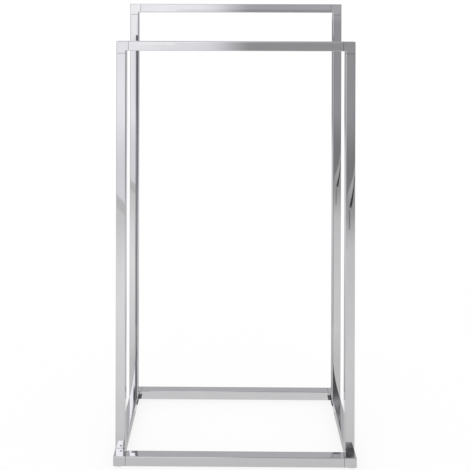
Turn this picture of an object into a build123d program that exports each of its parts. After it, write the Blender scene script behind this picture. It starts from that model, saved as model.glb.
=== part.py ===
"""Freestanding towel stand: two inverted-U frames of square tube on a rectangular base.

Millimetres. +Z is up, the front of the stand faces -Y, and the origin is on the floor
below the middle of the base. The back frame is the taller one.

Every corner is a cast connector with ribbed spigots that plug into the tubes. A square
insert is bolted upright on the side rails, close behind each of the base's corner
connectors, by a bolt that passes through the rail and the spigot inside it. The uprights
slide over the inserts, and a grub screw at the foot of each locks it.
"""

import os

from build123d import *

os.makedirs("parts", exist_ok=True)

# ---------------------------------------------------------------- driving dimensions
# Whole stand
stand_width = 450.0  # over the base, left to right
stand_depth = 230.0  # over the base, front to back
front_height = 786.0  # floor to the top of the front bar
back_height = 858.0  # floor to the top of the back bar

# Square tube
tube_size = 18.0  # across the outside
tube_wall = 1.0
tube_corner = 1.2  # outside radius along the tube; the connectors carry it on

# Corner connectors
connector_leg = 23.0  # outer corner to the seam, along each leg
connector_corner_flat = 0.8  # cut off each face at the outer corner
seam_groove_width = 0.8  # shadow line round each leg, beside the tube's end
seam_groove_depth = 0.5
spigot_length = 20.0
spigot_clearance = 0.3  # between a spigot's flat and the tube's bore, each side
spigot_lead_in = 0.8
spigot_skin = 2.4  # wall left round the core of a cored spigot
core_past_seam = 3.0  # how far the core runs into the leg
rib_width = 1.5
rib_gap = 0.02  # between a rib's crest and the tube's bore
rib_run_out = 3.0  # bare length at the spigot's tip

# Uprights on the base
upright_offset = 0.5  # from the connector's seam to the upright
insert_height = 20.0  # in the foot of each upright
insert_clearance = 0.05
insert_corner = 1.0  # flat across each long edge
thread_clearance = 0.05  # between a screw and its threaded hole, both plain here

# Bolts that hold the inserts on the rails, size M6
bolt_diameter = 6.0
bolt_length = 25.0  # under the head
bolt_hole_clearance = 0.3
bolt_head_diameter = 10.0
bolt_head_height = 6.0
bolt_key_size = 5.0  # across the hexagon's flats
bolt_key_depth = 3.0
head_clearance = 0.8  # round the head in its counterbore
head_recess = 2.0  # from the spigot's underside up to the head

# Grub screws that lock the uprights on the inserts, size M4
grub_diameter = 4.0
grub_length = 4.0
grub_height = 5.0  # above the rail
grub_inset = 1.8  # from the upright's middle towards the middle of the stand
grub_recess = 0.2  # below the upright's face
grub_hole_clearance = 0.15
grub_hole_spare = 0.4  # depth left beyond the screw's tip
grub_key_size = 2.0  # across the hexagon's flats
grub_key_depth = 2.0

# Feet: pads stuck under the base's corners
foot_height = 1.5
foot_size = 14.0
foot_corner = 2.0  # flat across each corner
foot_edge_chamfer = 0.5

# ------------------------------------------------------------------- derived lengths
half_tube = tube_size / 2
tube_bore = tube_size - 2 * tube_wall
spigot_size = tube_bore - 2 * spigot_clearance
rib_height = spigot_clearance - rib_gap
insert_size = tube_bore - 2 * insert_clearance
counterbore_radius = bolt_head_diameter / 2 + head_clearance
bolt_hole_radius = bolt_diameter / 2 + bolt_hole_clearance

rail_bottom = foot_height
rail_top = rail_bottom + tube_size
rail_middle = rail_bottom + half_tube
bore_floor = rail_bottom + tube_wall
head_bottom = bore_floor + spigot_clearance + head_recess
head_seat = head_bottom + bolt_head_height
grub_level = rail_top + grub_height
grub_face = half_tube - grub_recess  # from the middle of the upright
grub_tip = grub_face - grub_length

half_width = stand_width / 2
half_depth = stand_depth / 2
tube_x = half_width - half_tube  # middle of the uprights and side rails
rail_y = half_depth - half_tube  # middle of the front and back rails
upright_y = half_depth - connector_leg - upright_offset - half_tube

SIDES = {"left": -1, "right": 1}
FRAMES = {"front": (-1, front_height), "back": (1, back_height)}
upright_centres = [
    (side * tube_x, row * upright_y) for row, _ in FRAMES.values() for side in SIDES.values()
]


# --------------------------------------------------------------------------- helpers
def across(start, direction):
    """Plane square to a horizontal or vertical direction, with its local Y or X level."""
    level = (0, 1, 0) if abs(direction[1]) < 0.5 else (1, 0, 0)
    return Plane(origin=start, x_dir=level, z_dir=direction)


def run_tube(plane, length):
    """Adds open square tube to the sub-part in hand, from plane along its normal."""
    with BuildSketch(plane) as section:
        RectangleRounded(tube_size, tube_size, tube_corner)
        Rectangle(tube_bore, tube_bore, mode=Mode.SUBTRACT)
    extrude(section.sketch, amount=length)


def run_spigot(seam, cored):
    """Adds a grooved neck and a ribbed spigot to the connector in hand, outwards from the seam."""
    with BuildSketch(seam) as neck:
        Rectangle(tube_size - 2 * seam_groove_depth, tube_size - 2 * seam_groove_depth)
    extrude(neck.sketch, amount=-seam_groove_width)
    with BuildSketch(seam) as shank:
        Rectangle(spigot_size, spigot_size)
    extrude(shank.sketch, amount=spigot_length)
    tip = faces().sort_by(Axis(seam.origin, seam.z_dir))[-1]
    chamfer(tip.edges(), spigot_lead_in)
    with BuildSketch(seam) as ribs:
        with PolarLocations((spigot_size + rib_height) / 2, 4):
            Rectangle(rib_height, rib_width)
    extrude(ribs.sketch, amount=spigot_length - rib_run_out)
    if cored:
        core = spigot_size - 2 * spigot_skin
        with BuildSketch(seam.offset(-core_past_seam)) as hollow:
            Rectangle(core, core)
        extrude(hollow.sketch, amount=spigot_length + core_past_seam, mode=Mode.SUBTRACT)


def cast_corner(corner, along_a, along_b, cored_b=True):
    """Adds a connector: a square-section elbow with a spigot on each leg.

    corner is the middle of the outer corner's edge, and the legs run from it along a and b.
    """
    flat = Plane(origin=corner, x_dir=along_a, z_dir=Vector(*along_a).cross(Vector(*along_b)))
    leg_end = connector_leg - seam_groove_width
    with BuildSketch(flat) as elbow_side:
        with BuildLine():
            Polyline(
                (0, 0),
                (leg_end, 0),
                (leg_end, tube_size),
                (tube_size, tube_size),
                (tube_size, leg_end),
                (0, leg_end),
                close=True,
            )
        make_face()
    extrude(elbow_side.sketch, amount=half_tube, both=True)
    leg_ends = ShapeList(faces().sort_by(Axis(corner, leg))[-1] for leg in (along_a, along_b))
    end_edges = leg_ends.edges()
    fillet(faces().filter_by(flat).edges().filter_by(lambda edge: edge not in end_edges), tube_corner)
    with BuildSketch(flat) as corner_wedge:
        Polygon((0, 0), (connector_corner_flat, 0), (0, connector_corner_flat), align=None)
    extrude(corner_wedge.sketch, amount=half_tube, both=True, mode=Mode.SUBTRACT)

    middle = Vector(*corner) + (Vector(*along_a) + Vector(*along_b)) * half_tube
    for leg, cored in ((along_a, True), (along_b, cored_b)):
        run_spigot(across(middle + Vector(*leg) * (connector_leg - half_tube), leg), cored)


def outward(side, row, distance):
    """Plane at a grub screw, facing out of the stand, at a distance from the upright's middle."""
    origin = (side * (tube_x - grub_inset), row * (upright_y + distance), grub_level)
    return Plane(origin=origin, x_dir=(1, 0, 0), z_dir=(0, row, 0))


def save(piece, name):
    """Labels a finished sub-part and writes its STEP file."""
    piece.part.label = name
    export_step(piece.part, f"parts/{name}.step")


# ---------------------------------------------------------------- frames: bars, uprights
for frame, (row, height) in FRAMES.items():
    bar_length = stand_width - 2 * connector_leg
    with BuildPart() as bar:
        run_tube(across((-bar_length / 2, row * upright_y, height - half_tube), (1, 0, 0)), bar_length)
    save(bar, f"{frame}_bar")

    for side_name, side in SIDES.items():
        with BuildPart() as upright:
            run_tube(
                across((side * tube_x, row * upright_y, rail_top), (0, 0, 1)),
                height - connector_leg - rail_top,
            )
            with Locations(outward(side, row, half_tube)):
                Hole(radius=grub_diameter / 2 + grub_hole_clearance, depth=tube_wall)
        save(upright, f"{frame}_{side_name}_upright")

        with BuildPart() as elbow:
            cast_corner((side * half_width, row * upright_y, height), (-side, 0, 0), (0, 0, -1))
        save(elbow, f"{frame}_{side_name}_elbow")

# ------------------------------------------------------------- base: rails and corners
for frame, (row, _) in FRAMES.items():
    rail_length = stand_width - 2 * connector_leg
    with BuildPart() as rail:
        run_tube(across((-rail_length / 2, row * rail_y, rail_middle), (1, 0, 0)), rail_length)
    save(rail, f"base_{frame}_rail")

for side_name, side in SIDES.items():
    rail_length = stand_depth - 2 * connector_leg
    with BuildPart() as side_rail:
        run_tube(across((side * tube_x, -rail_length / 2, rail_middle), (0, 1, 0)), rail_length)
        for row, _ in FRAMES.values():
            # Opening for the bolt's head below, clearance for its shank above
            with BuildSketch(Plane.XY.offset(rail_bottom)):
                with Locations((side * tube_x, row * upright_y)):
                    Circle(counterbore_radius)
            extrude(amount=tube_wall, mode=Mode.SUBTRACT)
            with BuildSketch(Plane.XY.offset(rail_top)):
                with Locations((side * tube_x, row * upright_y)):
                    Circle(bolt_hole_radius)
            extrude(amount=-tube_wall, mode=Mode.SUBTRACT)
    save(side_rail, f"base_{side_name}_rail")

for frame, (row, _) in FRAMES.items():
    for side_name, side in SIDES.items():
        outer_corner = (side * half_width, row * half_depth, rail_middle)
        with BuildPart() as base_corner:
            cast_corner(outer_corner, (-side, 0, 0), (0, -row, 0), cored_b=False)
            with Locations(Plane(origin=(side * tube_x, row * upright_y, bore_floor), z_dir=(0, 0, -1))):
                CounterBoreHole(
                    radius=bolt_hole_radius,
                    counter_bore_radius=counterbore_radius,
                    counter_bore_depth=head_seat - bore_floor,
                )
        save(base_corner, f"base_{frame}_{side_name}_corner")

        with BuildPart() as foot:
            with BuildSketch(Plane.XY):
                with Locations((side * tube_x, row * rail_y)):
                    Rectangle(foot_size, foot_size)
                chamfer(vertices(), foot_corner)
            extrude(amount=foot_height)
            chamfer(edges().group_by(Axis.Z)[0], foot_edge_chamfer)
        save(foot, f"{frame}_{side_name}_foot")

        with BuildPart() as insert:
            with BuildSketch(Plane.XY.offset(rail_top)):
                with Locations((side * tube_x, row * upright_y)):
                    Rectangle(insert_size, insert_size)
                    chamfer(vertices(), insert_corner)
                    Circle(bolt_diameter / 2 + thread_clearance, mode=Mode.SUBTRACT)
            extrude(amount=insert_height)
            with Locations(outward(side, row, insert_size / 2)):
                Hole(
                    radius=grub_diameter / 2 + thread_clearance,
                    depth=insert_size / 2 - grub_tip + grub_hole_spare,
                )
        save(insert, f"{frame}_{side_name}_insert")

# ------------------------------------------------------------------------- fasteners
with BuildPart() as upright_bolts:
    with BuildSketch(Plane.XY.offset(head_bottom)):
        with Locations(*upright_centres):
            Circle(bolt_head_diameter / 2)
    extrude(amount=bolt_head_height)
    with BuildSketch(Plane.XY.offset(head_seat)):
        with Locations(*upright_centres):
            Circle(bolt_diameter / 2)
    extrude(amount=bolt_length)
    with BuildSketch(Plane.XY.offset(head_bottom)):
        with Locations(*upright_centres):
            RegularPolygon(bolt_key_size / 2, 6, major_radius=False)
    extrude(amount=bolt_key_depth, mode=Mode.SUBTRACT)
save(upright_bolts, "upright_bolts")

with BuildPart() as upright_grub_screws:
    for side in SIDES.values():
        for row, _ in FRAMES.values():
            with BuildSketch(outward(side, row, grub_face)):
                Circle(grub_diameter / 2)
            extrude(amount=-grub_length)
            with BuildSketch(outward(side, row, grub_face)):
                RegularPolygon(grub_key_size / 2, 6, major_radius=False)
            extrude(amount=-grub_key_depth, mode=Mode.SUBTRACT)
save(upright_grub_screws, "upright_grub_screws")
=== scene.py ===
"""Looks of the freestanding towel stand: polished chrome on a white floor in a plain studio.

Metres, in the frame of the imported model. Every piece is a CAD node that gets a procedural
material. The studio round it is seen only in the chrome.
"""

import math

import bpy
from mathutils.geometry import tessellate_polygon
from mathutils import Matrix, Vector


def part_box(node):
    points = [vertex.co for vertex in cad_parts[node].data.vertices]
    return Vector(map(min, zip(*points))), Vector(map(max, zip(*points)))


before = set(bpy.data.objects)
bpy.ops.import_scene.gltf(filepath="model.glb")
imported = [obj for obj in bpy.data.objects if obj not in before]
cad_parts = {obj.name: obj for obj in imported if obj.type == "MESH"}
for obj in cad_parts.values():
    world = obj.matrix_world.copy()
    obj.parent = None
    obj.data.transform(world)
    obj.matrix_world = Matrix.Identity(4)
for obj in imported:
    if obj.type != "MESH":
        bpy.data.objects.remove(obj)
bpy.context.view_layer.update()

# ------------------------------------------------------------------ the photograph's view
# A level camera as high as the back bar, with the picture shifted down to the base.
CAMERA_PLACE = (-0.0038, -1.3406, 0.8446)
CAMERA_TURN = math.radians(0.377)
CAMERA_ROLL = math.radians(-0.154)
CAMERA_LENS = 50.87
SENSOR_WIDTH = 36.0
SHIFT_RIGHT = 0.0115
SHIFT_DOWN = 0.478


def make_camera():
    data = bpy.data.cameras.new("photo_camera")
    data.lens = CAMERA_LENS
    data.sensor_width = SENSOR_WIDTH
    data.shift_x = SHIFT_RIGHT
    data.shift_y = -SHIFT_DOWN
    camera = bpy.data.objects.new("photo_camera", data)
    camera.location = CAMERA_PLACE
    camera.rotation_euler = (math.radians(90), CAMERA_ROLL, CAMERA_TURN)
    bpy.context.scene.collection.objects.link(camera)
    bpy.context.scene.camera = camera


# ------------------------------------------------------------------------ node shorthand
def new_material(name):
    """An empty material, its tree and its Principled surface."""
    material = bpy.data.materials.new(name)
    material.use_nodes = True
    tree = material.node_tree
    tree.nodes.clear()
    out = tree.nodes.new("ShaderNodeOutputMaterial")
    surface = tree.nodes.new("ShaderNodeBsdfPrincipled")
    tree.links.new(surface.outputs["BSDF"], out.inputs["Surface"])
    return material, tree, surface


def add(tree, kind, *inputs, **settings):
    """A shader node with its settings. Each input is a value or another node's socket."""
    node = tree.nodes.new("ShaderNode" + kind)
    for name, value in settings.items():
        setattr(node, name, value)
    for socket, value in zip(node.inputs, inputs):
        if isinstance(value, bpy.types.NodeSocket):
            tree.links.new(value, socket)
        elif value is not None:
            socket.default_value = value
    return node


def calc(tree, operation, a, b=0.0):
    return add(tree, "Math", a, b, operation=operation).outputs[0]


def times(tree, a, b):
    """The product of two vectors or colours."""
    return add(tree, "VectorMath", a, b, operation="MULTIPLY").outputs[0]


def blend(tree, factor, low, high):
    """A number that runs from low to high as factor runs from 0 to 1."""
    return add(tree, "MapRange", factor, 0.0, 1.0, low, high).outputs[0]


def noise(tree, place, features, detail=2.0, roughness=0.5):
    """Noise from 0 to 1, with so many features to the metre, on all axes or on each."""
    scale = features if isinstance(features, tuple) else (features,) * 3
    scaled = times(tree, place, scale)
    return add(tree, "TexNoise", scaled, None, 1.0, detail, roughness).outputs["Fac"]


def tint(tree, factor, stops):
    """Colour along a ramp of (position, colour or grey tone) stops."""
    node = add(tree, "ValToRGB", factor)
    elements = node.color_ramp.elements
    elements.remove(elements[-1])
    for index, (position, colour) in enumerate(stops):
        element = elements[0] if index == 0 else elements.new(position)
        element.position = position
        element.color = (*colour, 1) if isinstance(colour, tuple) else (colour, colour, colour, 1)
    return node.outputs[0]


def bump(tree, surface, *heights):
    """Gives the surface a relief, the sum of some heights in metres."""
    height = heights[0]
    for more in heights[1:]:
        height = calc(tree, "ADD", height, more)
    node = add(tree, "Bump")
    node.inputs["Strength"].default_value = 1.0
    node.inputs["Distance"].default_value = 1.0
    tree.links.new(height, node.inputs["Height"])
    tree.links.new(node.outputs[0], surface.inputs["Normal"])


# ------------------------------------------------------------------------------ materials
CHROME_CLEAN = (0.655, 0.654, 0.664)
CHROME_THIN = (0.616, 0.616, 0.630)  # where the plating is thinner or smudged
PLATING = [(0.3, CHROME_CLEAN), (0.75, CHROME_THIN)]

# Tubes: each face stands this proud in its middle, where the tube runs along X, Y or Z
FACE_CROWN = (1.0e-4, 0.2e-4, 1.0e-4)
EDGE_CROWN = 0.5e-4  # and falls away this much more beside its corners
EDGE_POWER = 3.0  # as this power of the crown's curve
SWAY_HEIGHT = 1.2e-4  # long waves along a tube
POLISH_HEIGHT = 1.2e-6  # polishing lines along a tube
FACE_TILT = {"back_left_upright": 0.023}  # uprights whose front face looks a little inwards
# Features to the metre along a tube and across it
SWAY = (6, 9)
POLISH = (4, 700)
SMUDGE = (14, 40)
STREAK = (10, 420)
SMUDGE_ROUGH = (0.0, 0.045)  # least and most roughness that smudges give
STREAK_ROUGH = (0.005, 0.025)  # and that streaks add to it

# Castings: features to the metre, and heights of the relief
RIPPLE, RIPPLE_HEIGHT = 90, 3.0e-5
PEEL, PEEL_HEIGHT = 900, 8.0e-7
CAST_SMUDGE = 60
CAST_ROUGH = (0.015, 0.07)
GROOVE_TONE = 0.2  # painted shade inside their seam grooves, this dark
GROOVE_REACH = 0.0015  # how far from a point the shader looks for a groove's walls
GROOVE_OPENNESS = (0.55, 0.9)  # how open a point is in a groove, and on a face
# The uprights cover the grooves on the side rails, which get no painted shade
COVERED_HEIGHT = 0.05  # these lie lower than this
COVERED_REACH = 0.095  # and no further than this to the front or back

# Machined pieces: pale and dull colour, features of the grain to the metre along each axis,
# and the roughness where they are pale and where they are dull
MACHINED = {
    "zinc_insert": ((0.60, 0.60, 0.58), (0.47, 0.46, 0.43), (900, 900, 60), 0.2, 0.34),
    "zinc_fastener": ((0.62, 0.64, 0.66), (0.5, 0.51, 0.5), (300, 300, 1800), 0.2, 0.34),
    "steel_screw": ((0.50, 0.50, 0.51), (0.43, 0.43, 0.44), (700, 1800, 700), 0.03, 0.1),
}
CLOUD = 220  # features to the metre of the cloudiness
GRAIN_HEIGHT = 6.0e-6
GRAIN_ROUGH = (0.0, 0.1)  # least and most that the grain adds

# Rubber: features to the metre, and height of the relief
DUST = 160
DUST_COLOURS = [(0.4, (0.028, 0.028, 0.029)), (0.8, (0.085, 0.083, 0.08))]
DUST_ROUGH = (0.68, 0.92)
PITS, PITS_HEIGHT = 2500, 2.5e-5


def tube_chrome(axis, tilt):
    """Polished chrome on drawn square tube that runs along an axis."""
    material, tree, surface = new_material("chrome_tube_" + "xyz"[axis])
    coordinates = add(tree, "TexCoord")
    place = coordinates.outputs["Object"]

    def along(lengthwise, crosswise):
        return tuple(lengthwise if side == axis else crosswise for side in range(3))

    # Distance from the middle of the section, 1 at the faces
    centred = add(tree, "VectorMath", coordinates.outputs["Generated"], (2, 2, 2), (-1, -1, -1),
                  operation="MULTIPLY_ADD").outputs[0]
    section = times(tree, centred, along(0, 1))
    square = add(tree, "VectorMath", section, section, operation="DOT_PRODUCT").outputs["Value"]
    beside = calc(tree, "SUBTRACT", square, 1.0)
    corner = calc(tree, "POWER", calc(tree, "ABSOLUTE", beside), EDGE_POWER)
    heights = [
        calc(tree, "MULTIPLY", beside, -FACE_CROWN[axis]),
        calc(tree, "MULTIPLY", corner, -EDGE_CROWN),
        calc(tree, "MULTIPLY", noise(tree, place, along(*SWAY), detail=1.0), SWAY_HEIGHT),
        calc(tree, "MULTIPLY", noise(tree, place, along(*POLISH), detail=3.0), POLISH_HEIGHT),
    ]
    if tilt:
        across = add(tree, "SeparateXYZ", place).outputs[0]
        heights.append(calc(tree, "MULTIPLY", across, -tilt))
    bump(tree, surface, *heights)

    smudge = noise(tree, place, along(*SMUDGE), detail=5.0, roughness=0.6)
    streak = noise(tree, place, along(*STREAK))
    rough = calc(tree, "ADD",
                 blend(tree, smudge, *SMUDGE_ROUGH), blend(tree, streak, *STREAK_ROUGH))
    tree.links.new(tint(tree, smudge, PLATING), surface.inputs["Base Color"])
    tree.links.new(rough, surface.inputs["Roughness"])
    surface.inputs["Metallic"].default_value = 1.0
    return material


def groove_shade(tree, place):
    """Painted shade inside the seam grooves, darker where they are closed in, apart from those that
    the uprights cover.
    """
    openness = add(tree, "AmbientOcclusion", None, GROOVE_REACH, samples=16).outputs["AO"]
    closed, opened = GROOVE_OPENNESS
    painted_shade = tint(tree, openness, [(closed, GROOVE_TONE), (opened, 1.0)])
    _, away, height = add(tree, "SeparateXYZ", place).outputs
    low = calc(tree, "LESS_THAN", height, COVERED_HEIGHT)
    near = calc(tree, "LESS_THAN", calc(tree, "ABSOLUTE", away), COVERED_REACH)
    return calc(tree, "MAXIMUM", painted_shade, calc(tree, "MULTIPLY", low, near))


def cast_chrome():
    """Polished chrome on a cast connector, with the faint ripple of a hand-polished casting."""
    material, tree, surface = new_material("chrome_casting")
    place = add(tree, "TexCoord").outputs["Object"]
    ripple = calc(tree, "MULTIPLY", noise(tree, place, RIPPLE), RIPPLE_HEIGHT)
    peel = calc(tree, "MULTIPLY", noise(tree, place, PEEL), PEEL_HEIGHT)
    bump(tree, surface, ripple, peel)
    smudge = noise(tree, place, CAST_SMUDGE, detail=4.0, roughness=0.6)
    # the base colour takes the painted shade of the seam grooves
    colour = times(tree, tint(tree, smudge, PLATING), groove_shade(tree, place))
    tree.links.new(colour, surface.inputs["Base Color"])
    tree.links.new(blend(tree, smudge, *CAST_ROUGH), surface.inputs["Roughness"])
    surface.inputs["Metallic"].default_value = 1.0
    return material


def machined(name, pale, dull, grain, smooth, rough):
    """Machined steel or zinc plating, with a cloudy surface and a fine grain."""
    material, tree, surface = new_material(name)
    place = add(tree, "TexCoord").outputs["Object"]
    cloud = noise(tree, place, CLOUD, detail=3.0, roughness=0.6)
    cut = noise(tree, place, grain)
    bump(tree, surface, calc(tree, "MULTIPLY", cut, GRAIN_HEIGHT))
    roughness = calc(tree, "ADD", blend(tree, cloud, smooth, rough), blend(tree, cut, *GRAIN_ROUGH))
    tree.links.new(tint(tree, cloud, [(0.3, pale), (0.7, dull)]), surface.inputs["Base Color"])
    tree.links.new(roughness, surface.inputs["Roughness"])
    surface.inputs["Metallic"].default_value = 1.0
    return material


def foot_rubber():
    """Matte moulded rubber, dusty where it has been handled."""
    material, tree, surface = new_material("foot_rubber")
    place = add(tree, "TexCoord").outputs["Object"]
    dust = noise(tree, place, DUST, detail=4.0, roughness=0.65)
    bump(tree, surface, calc(tree, "MULTIPLY", noise(tree, place, PITS), PITS_HEIGHT))
    tree.links.new(tint(tree, dust, DUST_COLOURS), surface.inputs["Base Color"])
    tree.links.new(blend(tree, dust, *DUST_ROUGH), surface.inputs["Roughness"])
    return material


def dress_nodes():
    """Gives each node the look of its material slot; a tube's follows the way that it runs."""
    looks = {"chrome_casting": cast_chrome()}
    for name, look in MACHINED.items():
        looks[name] = machined(name, *look)
    looks["foot_rubber"] = foot_rubber()
    tubes = {}
    for name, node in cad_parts.items():
        slot = node.data.materials[0].name
        if slot == "chrome_tube":
            low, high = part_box(name)
            sides = [high[i] - low[i] for i in range(3)]
            look = (sides.index(max(sides)), FACE_TILT.get(name, 0.0))
            if look not in tubes:
                tubes[look] = tube_chrome(*look)
            material = tubes[look]
        else:
            material = looks[slot]
        node.data.materials.clear()
        node.data.materials.append(material)


# --------------------------------------------------------------------------------- studio
# The room is seen only in the chrome: a bright side to the left of the camera, a grey one to
# the right, and a wall and ceiling of middling greys behind and above the stand. Its tones
# are listed by degrees round the room from the camera's side, positive to its right.
ROOM_RADIUS = 6.0
ROOM_HEIGHT = 5.0
ROOM_SIDES = 120
ROOM_TINT = (0.994, 0.99, 1.025)
BRIGHTEST = 2.0  # tones can be as high as this, and colour ramps hold them as shares of it
NEAR_TONES = [
    (-180, 0.75), (-174, 0.72), (-168, 0.56), (-150, 0.58), (-90, 0.55), (-45, 0.60), (-20, 0.98),
    (-4, 1.00), (-0.2, 0.70), (2.0, 0.29), (14, 0.29), (60, 0.25), (110, 0.30), (150, 0.52),
    (174, 0.58), (180, 0.75),
]
LOW_TONES = [
    (-180, 0.40), (-177, 0.24), (-173, 0.24), (-171, 0.60), (-150, 0.60), (-90, 0.55), (-45, 0.62),
    (-20, 1.20), (-9.5, 1.20), (-7, 1.12), (-4, 1.08), (-2.3, 1.02), (-0.6, 0.78), (0.5, 0.50),
    (1.6, 0.42), (14, 0.43), (40, 0.28), (110, 0.30), (150, 0.52), (176, 0.60), (180, 0.40),
]
BAR_TONES = [
    (-180, 0.66), (-150, 0.66), (-90, 0.58), (-45, 0.66), (-20, 1.24), (-4, 1.26), (-2.2, 1.10),
    (-0.5, 0.90), (0.6, 0.65), (1.7, 0.56), (14, 0.57), (40, 0.36), (110, 0.34), (150, 0.56),
    (180, 0.66),
]
DIM_TONES = [
    (-180, 0.60), (-120, 0.60), (-60, 0.80), (-4, 0.80), (4, 0.42), (60, 0.40), (120, 0.50),
    (180, 0.60),
]
LAMP_TONES = [
    (-180, 0.62), (-120, 0.60), (-95, 0.30), (-40, 0.30), (-25, 2.0), (-4, 2.0), (4, 0.80),
    (20, 0.80), (30, 0.15), (90, 0.15), (130, 0.54), (180, 0.62),
]
NEAR_REACH = (2.4, 4.2)  # metres from the stand where its floor turns from near to low tones
BAR_RISE = (0.68, 0.84)  # heights where the wall turns from low to bar tones
DIM_RISE = (1.2, 2.0)  # and from bar to dim tones, which the ceiling has too
LAMP_RISE = (2.9, 3.3)  # and where a band of lamps starts
LAMP_END = (4.5, 4.9)  # and ends

# Dark and pale cards on the camera's side, at this y: corners (x, z) and tone
CARD_Y = -5.7
CARDS = [
    ([(0.5, 2.80), (1.86, 2.80), (1.86, 3.39), (0.5, 3.39)], 0.16),
    ([(0.5, 3.46), (1.86, 3.46), (1.86, 3.60), (0.5, 3.60)], 0.34),
    ([(0.5, 3.665), (1.86, 3.665), (1.86, 3.84), (0.5, 3.84)], 0.07),
    ([(-0.828, 3.26), (-0.45, 3.26), (-0.45, 3.40), (-0.828, 3.40)], 0.02),
    (
        [(-0.80, 3.40), (-0.45, 3.40), (-0.45, 3.90), (-0.95, 3.90), (-0.95, 3.65), (-0.86, 3.62)],
        0.58,
    ),
    ([(-1.00, 0.56), (-0.62, 0.56), (-0.62, 0.80), (-1.00, 0.80)], 1.28),
    ([(-1.20, 0.80), (-1.015, 0.80), (-1.015, 0.96), (-1.20, 0.96)], 1.34),
]

# The white sweep that the stand is on ends here, and the studio's own floor begins.
SWEEP = [
    (-1.4, -2.1), (-0.25, -1.66), (0.33, -1.20), (0.38, -1.66), (0.45, -1.88), (0.59, -2.10),
    (0.80, -2.42), (1.5, -2.42), (1.5, 0.14), (-1.4, 0.14),
]
# Strips along its edges: name, ends, width, tone and height
STRIPS = [
    ("seam", [(0.495, -1.69), (0.755, -2.20)], 0.045, 0.03, 0.003),  # painted shade of the gap on the right
    ("crack", [(0.43, -1.40), (0.475, -1.66)], 0.016, 0.20, 0.003),  # the gap's painted shade, on towards the stand
    ("edge_shade", [(-0.20, -1.58), (-0.95, -1.93)], 0.15, 0.70, 0.002),  # painted shade, soft and grey, along the sweep's left edge
]
# Tones of the sweep under the stand, painted light and shade darker just outside the side rails, by
# the distance from its middle to either side
UNDER_TONES = [(0.20, 0.86), (0.225, 0.76), (0.5, 0.85)]
# and of the sweep in front of it, painted light and shade, darker next to the base and on the
# right, by the distance in front of the base
APRON_START = 0.116  # just in front of the base
APRON_LENGTH = 2.4
APRON_LEFT = [
    (0.01, 0.78), (0.06, 0.86), (0.16, 0.92), (0.37, 1.00), (0.65, 1.06), (0.90, 1.03),
    (1.15, 0.94), (1.40, 0.84),
]
APRON_RIGHT = [
    (0.01, 0.78), (0.06, 0.82), (0.16, 0.87), (0.37, 0.88), (0.65, 0.84), (1.08, 0.79),
    (1.18, 0.73), (1.28, 0.64), (1.36, 0.57), (1.46, 0.48), (1.60, 0.45), (1.80, 0.52),
    (2.10, 0.60),
]
APRON_MIDDLE = (-0.25, 0.25)  # between these x it turns from left to right tones
# Shades beside the right side rail, mirrored to the left one: ends, width, tone and height
RAIL_SHADES = [
    ([(0.190, -0.07), (0.190, 0.055)], 0.04, 0.60, 0.0014),
    ([(0.2051, 0.077), (0.2051, 0.097)], 0.0045, 0.15, 0.001625),
]
ROOM_LEVEL = 0.001  # height of the studio's own floor
SWEEP_LEVEL = 0.0012  # and of the sweep

# The floor that the picture itself shows
FLOOR_HALF = 20.0
FLOOR_SHADOW = 0.2  # how much of the stand's shadow it shows


def stage_piece(name, points, faces, material):
    mesh = bpy.data.meshes.new(name)
    mesh.from_pydata(points, [], faces)
    mesh.materials.append(material)
    piece = bpy.data.objects.new(name, mesh)
    bpy.context.scene.collection.objects.link(piece)
    return piece


def reflected_piece(name, points, faces, material):
    """A piece of the studio that only mirror-like surfaces show."""
    piece = stage_piece(name, points, faces, material)
    for ray in ("camera", "diffuse", "shadow", "transmission", "volume_scatter"):
        setattr(piece, "visible_" + ray, False)


def glow(name):
    """An emission material, its tree and the emission node."""
    material = bpy.data.materials.new(name)
    material.use_nodes = True
    tree = material.node_tree
    tree.nodes.clear()
    light = tree.nodes.new("ShaderNodeEmission")
    out = tree.nodes.new("ShaderNodeOutputMaterial")
    tree.links.new(light.outputs[0], out.inputs["Surface"])
    return material, tree, light


def greys(tree, factor, stops, start=0.0, length=1.0):
    """Grey tones by their places along a length, as shares of the brightest one."""
    return tint(tree, factor, [((at - start) / length, tone / BRIGHTEST) for at, tone in stops])


def shade(tree, light, shares):
    """Lights a piece by a colour that is given in shares of the brightest tone."""
    tree.links.new(shares, light.inputs["Color"])
    light.inputs["Strength"].default_value = BRIGHTEST


def passage(tree, value, limits, before, after):
    """A colour that turns smoothly from before to after, while value passes between limits."""
    step = add(tree, "MapRange", value, *limits, 0.0, 1.0, interpolation_type="SMOOTHSTEP")
    mixed = add(tree, "Mix", data_type="VECTOR")
    tree.links.new(step.outputs[0], mixed.inputs["Factor"])
    tree.links.new(before, mixed.inputs[4])
    tree.links.new(after, mixed.inputs[5])
    return mixed.outputs[1]


def room_look():
    material, tree, light = glow("room")
    place = add(tree, "TexCoord").outputs["Object"]
    turn = add(tree, "TexGradient", place, gradient_type="RADIAL").outputs["Fac"]
    # The gradient's quarter points to -Y, the camera's side
    round_room = calc(tree, "FRACT", calc(tree, "ADD", turn, 0.25))
    near, low, bar, dim, lamps = (
        greys(tree, round_room, tones, -180, 360)
        for tones in (NEAR_TONES, LOW_TONES, BAR_TONES, DIM_TONES, LAMP_TONES)
    )
    height = add(tree, "SeparateXYZ", place).outputs[2]
    reach = add(tree, "VectorMath", place, operation="LENGTH").outputs["Value"]
    colour = passage(tree, reach, NEAR_REACH, near, low)
    colour = passage(tree, height, BAR_RISE, colour, bar)
    colour = passage(tree, height, DIM_RISE, colour, dim)
    colour = passage(tree, height, LAMP_RISE, colour, lamps)
    colour = passage(tree, height, LAMP_END, colour, dim)
    shade(tree, light, times(tree, colour, ROOM_TINT))
    return material


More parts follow.
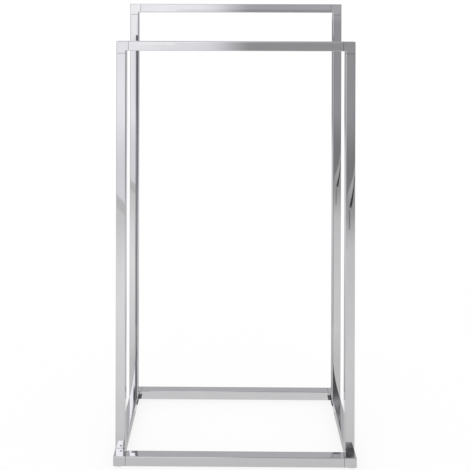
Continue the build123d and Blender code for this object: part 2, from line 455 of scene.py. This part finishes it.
def apron_look():
    material, tree, light = glow("apron")
    across, away, _ = add(tree, "SeparateXYZ", add(tree, "TexCoord").outputs["Object"]).outputs
    end = APRON_START + APRON_LENGTH
    distance = add(tree, "MapRange", away, -APRON_START, -end, 0.0, 1.0).outputs[0]
    left, right = (
        greys(tree, distance, tones, length=APRON_LENGTH) for tones in (APRON_LEFT, APRON_RIGHT)
    )
    shade(tree, light, passage(tree, across, APRON_MIDDLE, left, right))
    return material


def under_look():
    material, tree, light = glow("under")
    across = add(tree, "SeparateXYZ", add(tree, "TexCoord").outputs["Object"]).outputs[0]
    shade(tree, light, greys(tree, calc(tree, "ABSOLUTE", across), UNDER_TONES))
    return material


def ring(points, height):
    return [(x, y, height) for x, y in points]


def reflected_sheet(name, corners, material):
    """A flat piece of one face that only reflections show."""
    reflected_piece(name, corners, [tuple(range(len(corners)))], material)


def plain_sheet(name, corners, tone):
    material, _, light = glow(name)
    light.inputs["Color"].default_value = (tone, tone, tone, 1)
    reflected_sheet(name, corners, material)


def make_world():
    world = bpy.data.worlds.new("studio")
    bpy.context.scene.world = world
    world.use_nodes = True
    tree = world.node_tree
    tree.nodes.clear()
    background = add(tree, "Background", (1, 1, 1, 1), 1.0)
    add(tree, "OutputWorld", background.outputs[0])


def make_floor():
    """White floor that runs into the white world, with only a trace of the stand's shadow."""
    material, tree, light = glow("floor")
    matte = add(tree, "BsdfDiffuse", (1, 1, 1, 1))
    camera_ray = add(tree, "LightPath").outputs["Is Camera Ray"]
    seen = calc(tree, "MULTIPLY", camera_ray, 1 - FLOOR_SHADOW)
    mixed = add(tree, "MixShader", seen, matte.outputs[0], light.outputs[0])
    tree.links.new(mixed.outputs[0], tree.nodes["Material Output"].inputs["Surface"])
    corners = [(FLOOR_HALF * x, FLOOR_HALF * y, 0) for x, y in ((-1, -1), (1, -1), (1, 1), (-1, 1))]
    stage_piece("floor", corners, [(0, 1, 2, 3)], material)


def make_room():
    """Wall, ceiling and the studio's own floor, outside the white sweep."""
    turns = [2 * math.pi * i / ROOM_SIDES for i in range(ROOM_SIDES)]
    circle = [(ROOM_RADIUS * math.cos(turn), ROOM_RADIUS * math.sin(turn)) for turn in turns]
    points = ring(circle, ROOM_LEVEL) + ring(SWEEP, ROOM_LEVEL) + ring(circle, ROOM_HEIGHT)
    top = ROOM_SIDES + len(SWEEP)
    after = [(i + 1) % ROOM_SIDES for i in range(ROOM_SIDES)]
    faces = [(i, after[i], top + after[i], top + i) for i in range(ROOM_SIDES)]
    faces.append(tuple(range(top, top + ROOM_SIDES)))
    faces += tessellate_polygon([ring(circle, 0.0), ring(SWEEP, 0.0)])
    reflected_piece("room", points, faces, room_look())


def make_sweep():
    """The white sweep before the stand, then the one under it and beside it, as glowing sheets of
    painted light and shade.
    """
    front = [point for point in SWEEP if point[1] < 0]
    outline = front + [(front[-1][0], -APRON_START), (front[0][0], -APRON_START)]
    reflected_sheet("apron", ring(outline, SWEEP_LEVEL), apron_look())

    (left, _), (right, back) = SWEEP[0], SWEEP[-2]
    outline = [(left, -APRON_START), (right, -APRON_START), (right, back), (left, back)]
    reflected_sheet("under", ring(outline, SWEEP_LEVEL), under_look())


def make_strip(name, ends, width, tone, height):
    """A strip along the floor, between two ends."""
    (x0, y0), (x1, y1) = ends
    half = width / 2 / math.hypot(x1 - x0, y1 - y0)
    out_x, out_y = (y1 - y0) * half, (x0 - x1) * half
    corners = [
        (x0 - out_x, y0 - out_y), (x1 - out_x, y1 - out_y),
        (x1 + out_x, y1 + out_y), (x0 + out_x, y0 + out_y),
    ]
    plain_sheet(name, ring(corners, height), tone)


make_camera()
dress_nodes()
make_world()
make_floor()
make_room()
make_sweep()
for outline, tone in CARDS:
    plain_sheet("card", [(x, CARD_Y, z) for x, z in outline], tone)
for strip in STRIPS:
    make_strip(*strip)
for ends, *look in RAIL_SHADES:
    for side in (-1, 1):
        make_strip("rail_shade", [(side * x, y) for x, y in ends], *look)

bpy.context.scene.view_settings.view_transform = "Standard"
